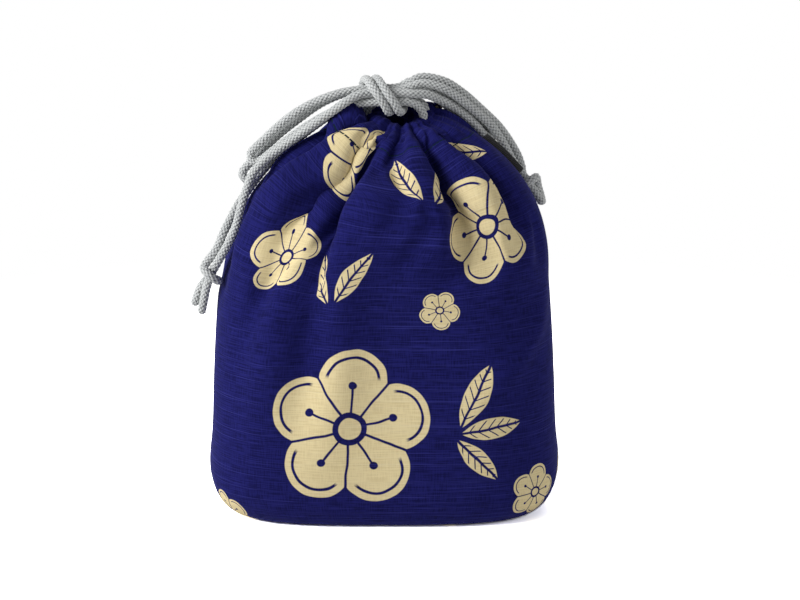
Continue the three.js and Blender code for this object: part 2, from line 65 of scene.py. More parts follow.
# Folds that the drawn neck throws over the shoulders, the hollows that the hanging cords lie in, and the
# long rounds down the filled sides. Each runs down through points of share of the rise, turn in degrees
# (0 right, 90 back, 180 left, 270 front), height and half width in millimetres.
folds = {
    "left pleat": [
        (1, 240, -3, 4), (0.89, 237, -6, 5), (0.76, 230, -8, 7), (0.64, 223, -7, 8), (0.5, 216, -4, 9),
        (0.35, 211, 0, 10)],
    "left pleat's back": [
        (1, 226, 3, 4), (0.87, 222, 7, 6), (0.75, 215, 10, 7), (0.62, 208, 10, 8), (0.45, 204, 6, 10),
        (0.1, 203, 0, 12)],
    "front left crest": [
        (1, 247, 1, 4), (0.88, 244, 2, 5), (0.74, 238, 2, 7), (0.6, 229, 2, 9), (0.4, 221, 2, 11),
        (0.1, 219, 0, 13)],
    "front left valley": [
        (1, 257, -2, 4), (0.88, 254, -6, 4), (0.75, 249, -9, 5), (0.63, 242, -11, 6), (0.5, 236, -10, 7),
        (0.38, 231, -7, 8), (0.15, 227, 0, 12)],
    "middle crest": [
        (1, 263, 1, 4), (0.89, 262, 3, 5), (0.73, 262, 3, 7), (0.6, 257, 5, 9), (0.45, 250, 4, 12),
        (0.2, 245, 0, 16)],
    "middle valley": [(1, 267, -2, 2.5), (0.88, 268, -4, 3), (0.78, 269, -3, 4), (0.66, 269, 0, 6)],
    "middle right valley": [
        (1, 273, -2, 2.5), (0.89, 274, -5, 3.5), (0.75, 276, -9, 5), (0.66, 278, -6, 6), (0.55, 281, 0, 8)],
    "middle right crest": [
        (1, 282, 1, 4), (0.89, 284, 3, 5), (0.74, 287, 4, 6), (0.55, 291, 3, 9), (0.3, 294, 0, 14)],
    "front right valley": [
        (1, 292, -3, 4), (0.89, 298, -7, 5), (0.78, 303, -10, 7), (0.66, 308, -9, 8), (0.5, 311, -5, 9),
        (0.3, 313, 0, 10)],
    "front right crest": [
        (1, 305, 2, 4), (0.9, 312, 5, 6), (0.7, 320, 6, 8), (0.5, 322, 4, 10), (0.25, 322, 0, 13)],
    "right valley": [
        (1, 324, -2, 4), (0.8, 330, -5, 7), (0.56, 332, -4, 9), (0.35, 331, -2, 10), (0.15, 330, 0, 12)],
    "right crest": [(1, 338, 1, 4), (0.85, 340, 1, 7), (0.6, 338, 2, 9), (0.3, 336, 0, 13)],
    "right cords' hollow": [
        (0.98, 362, 0, 6), (0.85, 365, -4, 7), (0.6, 368, -6, 9), (0.4, 368, -4, 10), (0.2, 367, 0, 12)],
    "back right valley": [
        (1, 24, -3, 4), (0.85, 29, -7, 6), (0.6, 31, -9, 7), (0.35, 28, -6, 8), (0, 25, 0, 9)],
    "back right crest": [(1, 48, 2, 4), (0.85, 44, 5, 7), (0.6, 42, 5, 9), (0.2, 38, 0, 12)],
    "back middle right": [
        (0.85, 76, 0, 5), (0.65, 71, -7, 7), (0.45, 66, -6, 8), (0.2, 60, -4, 9), (-0.1, 55, 0, 12)],
    "back middle valley": [(1, 88, -3, 4), (0.84, 88, -6, 6), (0.65, 87, 0, 8)],
    "back middle left": [
        (0.85, 102, 0, 5), (0.65, 101, -7, 7), (0.45, 103, -6, 8), (0.2, 107, -4, 9), (-0.1, 112, 0, 12)],
    "back left crest": [
        (0.85, 115, 0, 5), (0.6, 119, 5, 7), (0.35, 123, 5, 8), (0.1, 128, 2, 9), (-0.1, 132, 0, 10)],
    "back left valley": [
        (1, 120, -3, 4), (0.8, 128, -6, 6), (0.5, 134, -9, 7), (0.3, 139, -7, 8), (-0.2, 148, 0, 9)],
    "left back crest": [
        (1, 142, 1, 4), (0.8, 145, 4, 6), (0.5, 150, 5, 8), (0.2, 154, 2, 9), (0, 157, 0, 10)],
    "left back valley": [
        (1, 160, -3, 4), (0.8, 163, -6, 6), (0.5, 166, -7, 7), (0.2, 168, -4, 9), (-0.1, 170, 0, 10)],
    "left shoulder crest": [
        (1, 200, 1, 5), (0.9, 198, 4, 8), (0.75, 195, 5, 10), (0.6, 192, 3, 12), (0.45, 190, 0, 14)],
    "left cords' hollow": [
        (0.75, 188, 0, 16), (0.6, 187, -5, 16), (0.4, 187, -8, 17), (0.2, 187, -6, 18), (-0.1, 187, 0, 20)],
    "front left round": [
        (0.25, 224, 0, 11), (0, 222, 4, 11), (-0.4, 221, 6, 12), (-0.9, 220, 3, 14), (-1.3, 220, 0, 15)],
    "front left hollow": [
        (0.35, 238, 0, 9), (0.1, 235, -4, 9), (-0.2, 233, -6, 10), (-0.6, 232, -4, 12), (-1.1, 231, 0, 14)],
    "front left ridge": [
        (0.3, 250, 0, 10), (0, 250, 3, 10), (-0.4, 247, 4, 11), (-0.8, 242, 3, 12), (-1.3, 238, 0, 14)],
    "right drape": [(0.1, 350, 0, 7), (-0.28, 337, 3, 7), (-0.59, 318, 3, 8), (-0.9, 304, 0, 12)],
    "front right round": [(0.3, 320, 0, 12), (0, 321, 2.5, 14), (-0.5, 321, 3, 16), (-1.3, 322, 0, 16)],
    "front dip": [(0.3, 272, 0, 20), (-0.2, 272, -2.5, 24), (-0.8, 272, -2, 24), (-1.3, 272, 0, 20)],
    "back dip": [(0.2, 90, 0, 20), (-0.2, 90, -2.5, 24), (-0.8, 90, -2, 24), (-1.3, 90, 0, 20)],
}


def mix(a, b, share):
    """Value that is a at share 0 and b at share 1."""
    return a + (b - a) * share


def ease(value, low, high):
    """Smooth step: 0 up to low, 1 from high, and an S curve between."""
    t = np.clip((value - low) / (high - low), 0, 1)
    return t * t * (3 - 2 * t)


def turn_between(start, end):
    """Shortest way round from one angle to another, in degrees."""
    return (end - start + 180) % 360 - 180


def pouch_rows():
    """Level rings of the smooth pouch as arrays of height, half width, half depth and squareness: a flat
    base, a quarter round at its edge, sides that draw in a little, shoulders whose width falls to the neck
    as (1 - rise ** fall) ** draw, a half round over the rim, and a funnel down into the mouth."""
    share = np.linspace(0, 1, base_rows + 1)[:-1]
    edge = np.linspace(0, np.pi / 2, edge_rows)
    up = np.linspace(0, 1, side_rows + 1)[1:]
    rise = np.sin(np.linspace(0, np.pi / 2, shoulder_rows + 1)[1:])
    over = np.linspace(0, np.pi, rim_rows + 1)[1:]
    down = np.linspace(0, 1, mouth_rows + 1)[1:]
    drawn = np.clip(1 - rise ** shoulder_fall, 0, 1) ** shoulder_draw
    inward = (1 - np.cos(over)) / 2
    mouth = mouth_width / 2 * (1 - mouth_taper * down)
    height = [
        0 * share, base_edge * (1 - np.cos(edge)), mix(base_edge, shoulder_height, up),
        mix(shoulder_height, neck_height, rise), neck_height + rim_rise * np.sin(over),
        neck_height - mouth_depth * down,
    ]
    half_width = [
        base_width / 2 * share, mix(base_width, belly_width, np.sin(edge)) / 2,
        mix(belly_width, shoulder_width, up ** 2) / 2, mix(neck_width, shoulder_width, drawn) / 2,
        mix(neck_width, mouth_width, inward) / 2, mouth,
    ]
    half_depth = [
        base_depth / 2 * share, mix(base_depth, belly_depth, np.sin(edge)) / 2,
        mix(belly_depth, shoulder_depth, up ** 2) / 2, mix(neck_depth, shoulder_depth, drawn) / 2,
        mix(neck_depth, mouth_width, inward) / 2, mouth,
    ]
    squareness = [
        base_squareness + 0 * share, base_squareness + 0 * edge,
        mix(base_squareness, shoulder_squareness, up), mix(shoulder_squareness, neck_squareness, rise),
        neck_squareness + 0 * over, neck_squareness + 0 * down,
    ]
    return [np.concatenate(part)[:, None] for part in (height, half_width, half_depth, squareness)]


def ring_points(angle, half_width, half_depth, squareness):
    """Points of a rounded rectangle: the circle's point pushed out to where |x|^n + |y|^n is 1."""
    c, s = np.cos(angle), np.sin(angle)
    reach = (np.abs(c) ** squareness + np.abs(s) ** squareness) ** (-1 / squareness)
    return half_width * reach * c, half_depth * reach * s


def surface_normals(points):
    """Outward unit normals of a closed-round grid: way round crossed with way up."""
    around = np.roll(points, -1, 1) - np.roll(points, 1, 1)
    normal = np.cross(around, np.gradient(points, axis=0))
    return normal / np.maximum(np.linalg.norm(normal, axis=2, keepdims=True), 1e-12)


def pleats(angle, rise, radius):
    """Depth of the fine pleats at the neck: each is a narrow valley of bell-shaped section that starts on
    the shoulder, narrows towards the neck as the cloth crowds together, and deepens all the way."""
    count, scatter, most_slant = 27, 0.25, 9
    first_start, last_start = 0.42, 0.82
    shallowest, deepest, deepening = 0.00121, 0.00231, 1.3
    wide, narrow = 0.0042, 0.0013
    random = np.random.default_rng(11)
    at_neck = (np.arange(count) + random.uniform(-scatter, scatter, count)) * 360 / count
    slant = random.uniform(-most_slant, most_slant, count)
    start = random.uniform(first_start, last_start, count)
    full_depth = random.uniform(shallowest, deepest, count)
    depth = np.zeros(np.broadcast(angle, rise).shape)
    for k in range(count):
        along = np.clip((rise - start[k]) / (1 - start[k]), 0, 1)
        middle = at_neck[k] + slant[k] * (1 - along)
        away = np.radians(turn_between(middle, angle)) * radius / mix(wide, narrow, along)
        depth += full_depth[k] * along ** deepening * np.exp(-away * away)
    return depth


def fold_height(turn, rise, height, radius):
    """How far the cloth stands off the smooth pouch: the named folds, each a bell across whose turn, height
    and width change along it and which dies out inside the mouth, the fine pleats, the stand-out of the
    boxed corners at the seams' feet, and the narrow dip of each seam above them."""
    corner_out, corner_turn, corner_height, corner_rise = 0.0025, 14, 0.024, 0.016
    seam_in, seam_turn, seam_from, seam_full = 0.0008, 2.2, 0.01, 0.05
    total = np.zeros(turn.shape)
    for run in folds.values():
        share, middle, peak, half_width = np.array(run)[::-1].T
        away = np.radians(turn_between(np.interp(rise, share, middle), turn)) * radius
        away = away / np.interp(rise, share, half_width / 1000)
        total += np.interp(rise, share, peak / 1000) * np.exp(-away * away)
    total = total * ease(radius, mouth_width / 2, neck_depth / 2) - pleats(turn, rise, radius)
    for seam in (0, 180):
        away = turn_between(seam, turn)
        from_corner = (away / corner_turn) ** 2 + ((height - corner_height) / corner_rise) ** 2
        total += corner_out * np.exp(-from_corner)
        total -= seam_in * np.exp(-(away / seam_turn) ** 2) * ease(height, seam_from, seam_full)
    return total * ease(height, 0, base_edge)


def pouch_surface():
    """Grid of points of the folded cloth, and each point's place on the flat cloth. The columns are evenly
    spaced along the belly, so a column is a thread of the warp. The rim rises at the back and at the right,
    where the hem stands up, and drops by less at the front."""
    lifted_from, fine_steps = 0.7, 2000
    height, half_width, half_depth, squareness = pouch_rows()
    fine = np.linspace(0, 2 * np.pi, fine_steps + 1)
    x, y = ring_points(fine, belly_width / 2, belly_depth / 2, base_squareness)
    girth = np.concatenate([[0], np.cumsum(np.hypot(np.diff(x), np.diff(y)))])
    across = np.linspace(0, girth[-1], columns + 1)
    angle = np.interp(across[:-1], girth, fine)[None, :]
    degrees = np.degrees(angle)
    rise = (height - shoulder_height) / (neck_height - shoulder_height)
    x, y = ring_points(angle, half_width, half_depth, squareness)
    shift = np.minimum(neck_offset * np.maximum(rise, 0) ** neck_lean, neck_offset)
    hem = hem_lift * np.exp(-(turn_between(hem_angle, degrees) / hem_spread) ** 2)
    backward = np.sin(angle)
    tilt = np.where(backward > 0, rim_tilt, rim_dip) * backward
    lift = (tilt + hem) * ease(rise, lifted_from, 1)
    smooth = np.stack([x + shift, y, height + lift], 2)
    turn = np.degrees(np.arctan2(y, x)) % 360
    out = fold_height(turn, rise, height, np.hypot(x, y))
    points = smooth + surface_normals(smooth) * out[:, :, None]
    step = np.linalg.norm(np.diff(smooth, axis=0), axis=2).mean(1)
    along = np.concatenate([[0], np.cumsum(step)]) - base_depth / 2
    flat = np.stack(np.meshgrid(across, along), 2)
    return points, flat


def grid_object(name, points, flat):
    """Mesh object from a grid of points that closes on itself round its columns. flat is the UV map, with
    one more column than the points. Rows that shrink to a point become poles."""
    rows, around = points.shape[:2]
    i, j = np.meshgrid(np.arange(rows - 1), np.arange(around), indexing="ij")
    corners = [(i, j), (i, j + 1), (i + 1, j + 1), (i + 1, j)]
    quads = np.stack([(a * around + b % around).ravel() for a, b in corners], 1)
    spread = np.stack([flat[a, b].reshape(-1, 2) for a, b in corners], 1)
    mesh = bpy.data.meshes.new(name)
    mesh.from_pydata(points.reshape(-1, 3), [], quads.tolist())
    mesh.uv_layers.new(name="flat").data.foreach_set("uv", spread.ravel())
    mesh.polygons.foreach_set("use_smooth", np.ones(len(quads), bool))
    whole = bmesh.new()
    whole.from_mesh(mesh)
    bmesh.ops.remove_doubles(whole, verts=whole.verts, dist=1e-7)
    whole.to_mesh(mesh)
    whole.free()
    made = bpy.data.objects.new(name, mesh)
    bpy.context.collection.objects.link(made)
    return made


def settle(points):
    """Cloth simulation from the start shape. Its springs want the lengths of a rest shape: a tube whose
    rings and uprights are as long as those of the start shape, but longer round the shoulders by slack, and
    which narrows by no more than the uprights allow. The surplus buckles into folds while pressure keeps the
    pouch full; the foot and the neck are held and the rest is held weakly. The filling keeps the girth, so
    the mean move in or out over a hand's breadth is taken off again; moves are capped, and fade out down
    the smooth sides and towards the seams."""
    slack, side_slack, neck_loss = 0.20, 0.01, 0.6
    narrowing, least_climb = 0.9, 0.4
    grip, held_to, free_from = 0.05, 0.03, 0.12
    neck_from, neck_fade = 0.97, 3
    frames = 20
    hand_columns, hand_rows = 12, 5
    farthest, farthest_out, side_share, seam_columns = 0.010, 0.003, 0.15, 9
    foot, crest = base_rows + 1, rim_row + rim_rows // 2 + 1
    start = points[foot:crest]
    rows, around = start.shape[:2]
    height = start[:, :, 2].mean(1)
    rise = (height - shoulder_height) / (neck_height - shoulder_height)
    across = np.linalg.norm(np.roll(start, -1, 1) - start, axis=2)
    upright = np.linalg.norm(np.diff(start, axis=0), axis=2)
    at_shoulders = slack * ease(rise, 0.1, 0.6) * (1 - neck_loss * ease(rise, 0.75, 1))
    longer = 1 + side_slack * ease(rise, -1.2, -0.4) + at_shoulders
    length = narrowing * np.concatenate([[0], np.cumsum(upright.mean(1))])
    reach = np.maximum.accumulate(across.sum(1) * longer / (2 * np.pi) + length) - length
    turn = 2 * np.pi * (np.cumsum(across, 1) - across) / across.sum(1)[:, None]
    slope = np.diff(reach)[:, None] ** 2 + (np.diff(turn, axis=0) * reach[1:, None]) ** 2
    climb = np.sqrt(np.maximum(upright ** 2 - slope, (least_climb * upright) ** 2))
    tall = np.vstack([np.zeros(around), np.cumsum(climb, 0)])
    rest = np.stack([reach[:, None] * np.cos(turn), reach[:, None] * np.sin(turn), tall], 2)

    trial = grid_object("cloth_trial", start, np.zeros((rows, around + 1, 2)))
    trial.shape_key_add(name="start")
    lengths = trial.shape_key_add(name="lengths")
    lengths.data.foreach_set("co", rest.ravel())
    last_free = np.argmax(rise > neck_from)
    hold = np.maximum(1 - ease(height, held_to, free_from), grip)
    hold = np.maximum(hold, ease(np.arange(rows), last_free - neck_fade, last_free))
    pins = trial.vertex_groups.new(name="pins")
    for row in range(rows):
        pins.add(range(row * around, (row + 1) * around), hold[row], "REPLACE")
    reader = trial.modifiers.new("reads the rest shape", "EDGE_SPLIT")
    reader.use_edge_angle = reader.use_edge_sharp = False
    cloth = trial.modifiers.new("cloth", "CLOTH")
    cloth.collision_settings.use_collision = False
    springs = cloth.settings
    springs.quality = 5
    springs.mass = 0.1
    springs.tension_stiffness = springs.compression_stiffness = 15
    springs.shear_stiffness = 5
    springs.bending_stiffness = 8
    springs.tension_damping = springs.compression_damping = springs.shear_damping = 1
    springs.bending_damping = 0.1
    springs.vertex_group_mass = "pins"
    springs.rest_shape_key = lengths
    springs.use_pressure = True
    springs.uniform_pressure_force = 14
    springs.effector_weights.gravity = 0
    for step in range(1, frames + 1):
        bpy.context.scene.frame_set(step)
    found = np.empty(rows * around * 3)
    done = trial.evaluated_get(bpy.context.evaluated_depsgraph_get())
    done.data.vertices.foreach_get("co", found)
    bpy.data.objects.remove(trial)
    bpy.context.scene.frame_set(1)
    move = found.reshape(start.shape) - start
    out = (move * surface_normals(start)).sum(2)
    window = range(-hand_columns, hand_columns + 1)
    broad = sum(np.roll(out, shift, 1) for shift in window) / len(window)
    padded = np.pad(broad, ((hand_rows, hand_rows), (0, 0)), "edge")
    window = range(2 * hand_rows + 1)
    broad = sum(padded[shift:shift + rows] for shift in window) / len(window)
    excess = broad + np.maximum(out - broad - farthest_out, 0)
    move -= surface_normals(start) * excess[:, :, None]
    far = np.linalg.norm(move, axis=2, keepdims=True)
    level = start[:, :, 2:]
    share = (1 - side_share) * ease(level, 0.10, 0.16) + side_share * ease(level, 0.03, 0.10)
    from_seam = np.arange(around) % (around // 2)
    from_seam = np.minimum(from_seam, around // 2 - from_seam)
    free = (1 - np.exp(-(from_seam / seam_columns) ** 2))[None, :, None]
    settled = points.copy()
    settled[foot:crest] += move * np.minimum(1, farthest / np.maximum(far, 1e-9)) * (share * free)
    return settled


class Value:
    """A socket of a material's node tree. Arithmetic on values adds the Math nodes that work it out."""

    def __init__(self, tree, socket=None):
        self.tree = tree
        self.socket = socket

    def node(self, kind, settings, sockets, output=0):
        """Adds a node of a type, with its settings and then the values or links of its sockets."""
        made = self.tree.nodes.new(kind)
        for name, setting in settings.items():
            setattr(made, name, setting)
        for key, value in sockets.items():
            if isinstance(value, Value):
                self.tree.links.new(value.socket, made.inputs[key])
            else:
                made.inputs[key].default_value = value
        return Value(self.tree, made.outputs[output] if made.outputs else None)

    def math(self, operation, *values):
        """One Math node on the given numbers and values."""
        return self.node("ShaderNodeMath", {"operation": operation}, dict(enumerate(values)))

    def ease(self, low, high):
        """Smooth step of this value from 0 at low to 1 at high."""
        return self.node(
            "ShaderNodeMapRange", {"interpolation_type": "SMOOTHSTEP"},
            {"Value": self, "From Min": low, "From Max": high})

    def over(self, edge, soft):
        """1 where this value is above an edge and 0 below it, with a smooth step of soft to each side."""
        return self.ease(edge - soft, edge + soft)

    def under(self, edge, soft):
        """1 where this value is below an edge and 0 above it, with a smooth step of soft to each side."""
        return 1 - self.over(edge, soft)

    def blend(self, low, high):
        """Colour that goes from low to high with this value."""
        return self.node(
            "ShaderNodeMix", {"data_type": "RGBA"}, {"Factor": self, 6: low, 7: high}, 2)

    def __add__(self, other):
        return self.math("ADD", self, other)

    def __sub__(self, other):
        return self.math("SUBTRACT", self, other)

    def __rsub__(self, other):
        return self.math("SUBTRACT", other, self)

    def __mul__(self, other):
        return self.math("MULTIPLY", self, other)

    def __truediv__(self, other):
        return self.math("DIVIDE", self, other)

    __radd__ = __add__
    __rmul__ = __mul__


def new_material(name):
    """Empty node material, and the value that its nodes are added through."""
    material = bpy.data.materials.new(name)
    material.use_nodes = True
    material.node_tree.nodes.clear()
    return material, Value(material.node_tree)


def linear(red, green, blue):
    """Colour from 0 to 255 as the screen shows it, as linear light with full alpha."""
    c = np.array([red, green, blue]) / 255
    return (*np.where(c <= 0.04045, c / 12.92, ((c + 0.055) / 1.055) ** 2.4).tolist(), 1)


navy, navy_light, navy_deep = linear(31, 32, 100), linear(54, 56, 136), linear(19, 20, 72)
cream, cream_light, cream_deep = linear(236, 219, 172), linear(243, 229, 190), linear(228, 209, 160)
seam_thread = linear(18, 34, 48)
panel_width, print_length, side_drop = 0.2775, 0.32, 0.12
stitch_place, stitch_length = 0.021, 0.0028


def turned(u, v, left, up, turn):
    """Place on the print as seen from a motif's own middle and turn, in metres."""
    c, s = math.cos(math.radians(turn)), math.sin(math.radians(turn))
    across, along = u - left, v - up
    return across * c + along * s, along * c - across * s


def blossom(x, y, radius):
    """Mask of a plum blossom: five round petals on a ring, parted by thin gaps, each with the line of an
    inner petal, round a heart with long stamens that end in beads."""
    ring, petal_round, inner_round = 0.57 * radius, 0.41 * radius, 0.315 * radius
    heart_round, hollow_round, bead_round = 0.135 * radius, 0.205 * radius, 0.05 * radius
    gap_half, line_half, stem_half = 0.0195 * radius, 0.017 * radius, 0.015 * radius
    line_from, stem_to, bead_at = 0.63 * radius, 0.505 * radius, 0.53 * radius
    soft = 0.005 * radius
    sector = math.tau / 5
    away = x.math("SQRT", x * x + y * y)
    turn = x.math("ARCTAN2", y, x)
    inside = turn.math("WRAP", turn, sector / 2, -sector / 2)
    along = away * inside.math("COSINE", inside)
    side = inside.math("ABSOLUTE", away * inside.math("SINE", inside))
    out = along - ring
    from_middle = x.math("SQRT", out * out + side * side)
    petal = from_middle.under(petal_round, soft)
    gap = along * math.tan(sector / 2) - side
    parted = gap.over(gap_half, 1.5 * soft) * away.over(hollow_round, soft)
    edge = from_middle.math("ABSOLUTE", from_middle - inner_round)
    line = edge.over(line_half, soft)
    line = line.math("MAXIMUM", line, along.under(line_from, 6 * soft))
    stem = side.under(stem_half, soft) * along.under(stem_to, soft)
    tip = along - bead_at
    bead = x.math("SQRT", tip * tip + side * side).under(bead_round, soft)
    heart = away.under(heart_round, soft)
    return heart.math("MAXIMUM", petal * parted * line * (1 - stem.math("MAXIMUM", stem, bead)), heart)


def leaf(x, y, length, width):
    """Mask of a leaf from its stalk at the origin along x: it is width * 4t(1 - t) wide at share t of the
    length, with an open midrib and open veins that slant back to it and end inside a margin."""
    veins, vein_slant = 7, 1.1
    rib_half, vein_half, margin, soft = 0.0007, 0.00045, 0.0011, 0.0002
    t = x / length
    side = y.math("ABSOLUTE", y)
    inside = t * (1 - t) * (2 * width) - side
    blade = inside.over(soft, soft)
    rib = side.over(rib_half, soft)
    slanted = x - side * vein_slant
    half_gap = length / (2 * veins)
    from_vein = slanted.math("ABSOLUTE", slanted.math("WRAP", slanted, half_gap, -half_gap))
    vein = from_vein.over(vein_half, 0.75 * soft)
    return blade * rib * vein.math("MAXIMUM", vein, inside.under(margin, 1.5 * soft))


def cloth_material(rim):
    """Navy slub cotton printed in cream. Thin long slubs lie along the weft over a fine plain weave. One
    panel of the print covers the front, and the back has it reversed and dropped. A row of stitches closes
    the channel, and the print ends at the rim, which is given as a length up the flat cloth."""
    wobble, leaf_width, rim_fade = 0.0016, 0.34, 0.006
    thread_half, stitch_half, soft = 0.0004, 0.0012, 0.0001
    dent_half, dent_soft = 0.0007, 0.0005
    material, start = new_material("printed_slub_cotton")
    place = start.node("ShaderNodeUVMap", {"uv_map": "flat"}, {})
    u = start.node("ShaderNodeSeparateXYZ", {}, {0: place}, 0)
    v = start.node("ShaderNodeSeparateXYZ", {}, {0: place}, 1)

    def cloud(scale_u, scale_v, detail, offset=0):
        """Noise on the flat cloth with so many features to the metre each way."""
        stretched = start.node(
            "ShaderNodeMapping", {},
            {"Vector": place, "Scale": (scale_u, scale_v, 1), "Location": (offset, offset, 0)})
        return start.node(
            "ShaderNodeTexNoise", {"noise_dimensions": "2D"},
            {"Vector": stretched, "Scale": 1, "Detail": detail, "Roughness": 0.55})

    weft = cloud(6, 1800, 0)
    strength = cloud(25, 300, 1, 3)
    weave = cloud(90, 1900, 0, 7) * 0.6 + cloud(1900, 160, 0, 5) * 0.4
    mottle = cloud(45, 45, 3, 9)
    slub = weft.ease(0.66, 0.76) * (0.3 + 0.7 * strength.ease(0.42, 0.62))

    column = u / panel_width
    panel = column.math("FLOOR", column)
    x = (column - panel - 0.5) * (panel * 2 - 1) * panel_width + (cloud(70, 70, 1, 11) - 0.5) * wobble
    y = v + (1 - panel) * side_drop + (cloud(70, 70, 1, 13) - 0.5) * wobble
    y = y.math("WRAP", y, print_length - base_depth / 2, -base_depth / 2)
    blossoms = [blossom(*turned(x, y, left, up, turn), radius) for left, up, turn, radius in (
        (-0.037, 0.086, 14, 0.045), (0.044, 0.196, 40, 0.032), (0.066, 0.046, 5, 0.016),
        (-0.091, 0.181, 25, 0.021), (0.012, 0.152, 60, 0.012), (-0.112, 0.030, 33, 0.015),
        (0.022, 0.012, 20, 0.013), (0.112, 0.112, 50, 0.015), (-0.066, 0.243, 10, 0.026),
    )]
    leaves = [leaf(*turned(x, y, left, up, turn), size, leaf_width * size) for left, up, turn, size in (
        (0.022, 0.086, 62, 0.040), (0.022, 0.083, 8, 0.036), (0.020, 0.080, -46, 0.033),
        (-0.050, 0.154, 118, 0.034), (-0.046, 0.156, 62, 0.034), (0.096, 0.030, 80, 0.032),
        (0.098, 0.028, 22, 0.030), (-0.006, 0.212, 98, 0.036), (0.000, 0.212, 52, 0.034),
        (0.086, 0.236, 150, 0.034),
    )]
    print_mask = blossoms[0]
    for motif in blossoms[1:] + leaves:
        print_mask = print_mask.math("MAXIMUM", print_mask, motif)
    inside = v.ease(rim, rim + rim_fade)

    from_row = v.math("ABSOLUTE", v - (rim - stitch_place))
    along_stitch = u.math("ABSOLUTE", u.math("WRAP", u, stitch_length / 2, -stitch_length / 2))
    stitch = from_row.under(thread_half, soft) * along_stitch.under(stitch_half, soft)
    dent = from_row.under(dent_half, dent_soft)

    shade = weave.ease(0.28, 0.68)
    dyed = (slub * 0.6).blend(shade.blend(navy_deep, navy), navy_light)
    printed = (slub * 0.6).blend(shade.blend(cream_deep, cream), cream_light)
    worn = print_mask * (0.96 + 0.04 * weave.ease(0.35, 0.5)) * (1 - inside)
    colour = stitch.blend(worn.blend(dyed, printed), seam_thread)
    relief = slub * 0.5 + weave * 0.5 + mottle * 0.4 - dent * 0.8
    bump = start.node("ShaderNodeBump", {}, {"Strength": 0.4, "Distance": 0.0006, "Height": relief})
    shader = start.node(
        "ShaderNodeBsdfPrincipled", {},
        {"Base Color": colour, "Roughness": 0.95, "Specular IOR Level": 0.05, "Sheen Weight": 0.02,
         "Sheen Roughness": 0.5, "Normal": bump})
    start.node("ShaderNodeOutputMaterial", {}, {"Surface": shader})
    return material


pouch_points, pouch_flat = pouch_surface()
pouch_points = settle(pouch_points)
pouch = grid_object("pouch_cloth", pouch_points, pouch_flat)
rounded = pouch.modifiers.new("rounded", "SUBSURF")
rounded.levels = rounded.render_levels = 1
wall = pouch.modifiers.new("cloth thickness", "SOLIDIFY")
wall.thickness = cloth_thickness
wall.offset = -1
pouch.data.materials.append(cloth_material(rim=float(pouch_flat[rim_row, 0, 1])))
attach(pouch, "root")
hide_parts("pouch")

# Side label. A short piece of black woven tape, folded double and caught in the right side seam below the
# neck, so that its fold stands out from the cloth. It is blank.
label_length, label_standout, label_root, label_thickness = 0.028, 0.005, 0.0025, 0.0011
label_height = 0.194
label_black, label_worn = linear(24, 24, 25), linear(58, 58, 57)


def label_surface():
    """Tape carried along the seam: its section is a long oval that is rounded at the fold and deep in the
    seam at its root, and it closes to a point at each end of the tape."""
    stations, sides, girth = 41, 24, 0.016
    blunt, rounding = 0.25, 0.8
    seam = pouch_points[:, 0]
    length = np.concatenate([[0], np.cumsum(np.linalg.norm(np.diff(seam, axis=0), axis=1))])
    top = np.argmax(seam[:, 2])
    middle = np.interp(label_height, seam[:top, 2], length[:top])
    place = middle + label_length / 2 * np.linspace(-1, 1, stations)
    foot = np.stack([np.interp(place, length, seam[:, k]) for k in range(3)], 1)
    bends = [np.polyfit(place - middle, foot[:, k], 2) for k in range(3)]
    foot = np.stack([np.polyval(bend, place - middle) for bend in bends], 1)
    along = np.gradient(foot, axis=0)
    along /= np.linalg.norm(along, axis=1, keepdims=True)
    out = np.stack([along[:, 2], 0 * place, -along[:, 0]], 1)
    turn = np.linspace(0, 2 * np.pi, sides + 1)[:-1]
    across = np.sign(np.cos(turn)) * np.abs(np.cos(turn)) ** blunt
    thick = np.sign(np.sin(turn)) * np.abs(np.sin(turn)) ** rounding
    deep = mix(-label_root, label_standout, (across + 1) / 2)
    taper = np.ones(len(place))
    taper[[0, -1]] = 0
    side = np.array([0, 1, 0])
    body = deep[None, :, None] * out[:, None, :] + thick[None, :, None] * label_thickness / 2 * side
    centre = (label_standout - label_root) / 2 * out
    points = foot[:, None, :] + centre[:, None, :] + (body - centre[:, None, :]) * taper[:, None, None]
    flat = np.stack(np.meshgrid(np.linspace(0, girth, sides + 1), place - middle), 2)
    return points, flat


def label_material():
    """Black woven tape with a fine slanting rib and a little worn grey along its raised threads."""
    material, start = new_material("black_woven_tape")
    place = start.node("ShaderNodeUVMap", {"uv_map": "flat"}, {})
    rib = start.node(
        "ShaderNodeTexWave", {"wave_type": "BANDS", "bands_direction": "DIAGONAL"},
        {"Vector": place, "Scale": 700, "Distortion": 1.5, "Detail": 1})
    grain = start.node(
        "ShaderNodeTexNoise", {"noise_dimensions": "2D"}, {"Vector": place, "Scale": 1800, "Detail": 2})
    colour = (rib * 0.7 + grain * 0.3).ease(0.3, 0.8).blend(label_black, label_worn)
    bump = start.node("ShaderNodeBump", {}, {"Strength": 0.4, "Distance": 0.0003, "Height": rib})
    shader = start.node(
        "ShaderNodeBsdfPrincipled", {},
        {"Base Color": colour, "Roughness": 0.75, "Specular IOR Level": 0.25, "Normal": bump})
    start.node("ShaderNodeOutputMaterial", {}, {"Surface": shader})
    return material


label = grid_object("side_label_tape", *label_surface())
label.data.materials.append(label_material())
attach(label, "root")
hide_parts("side_label")

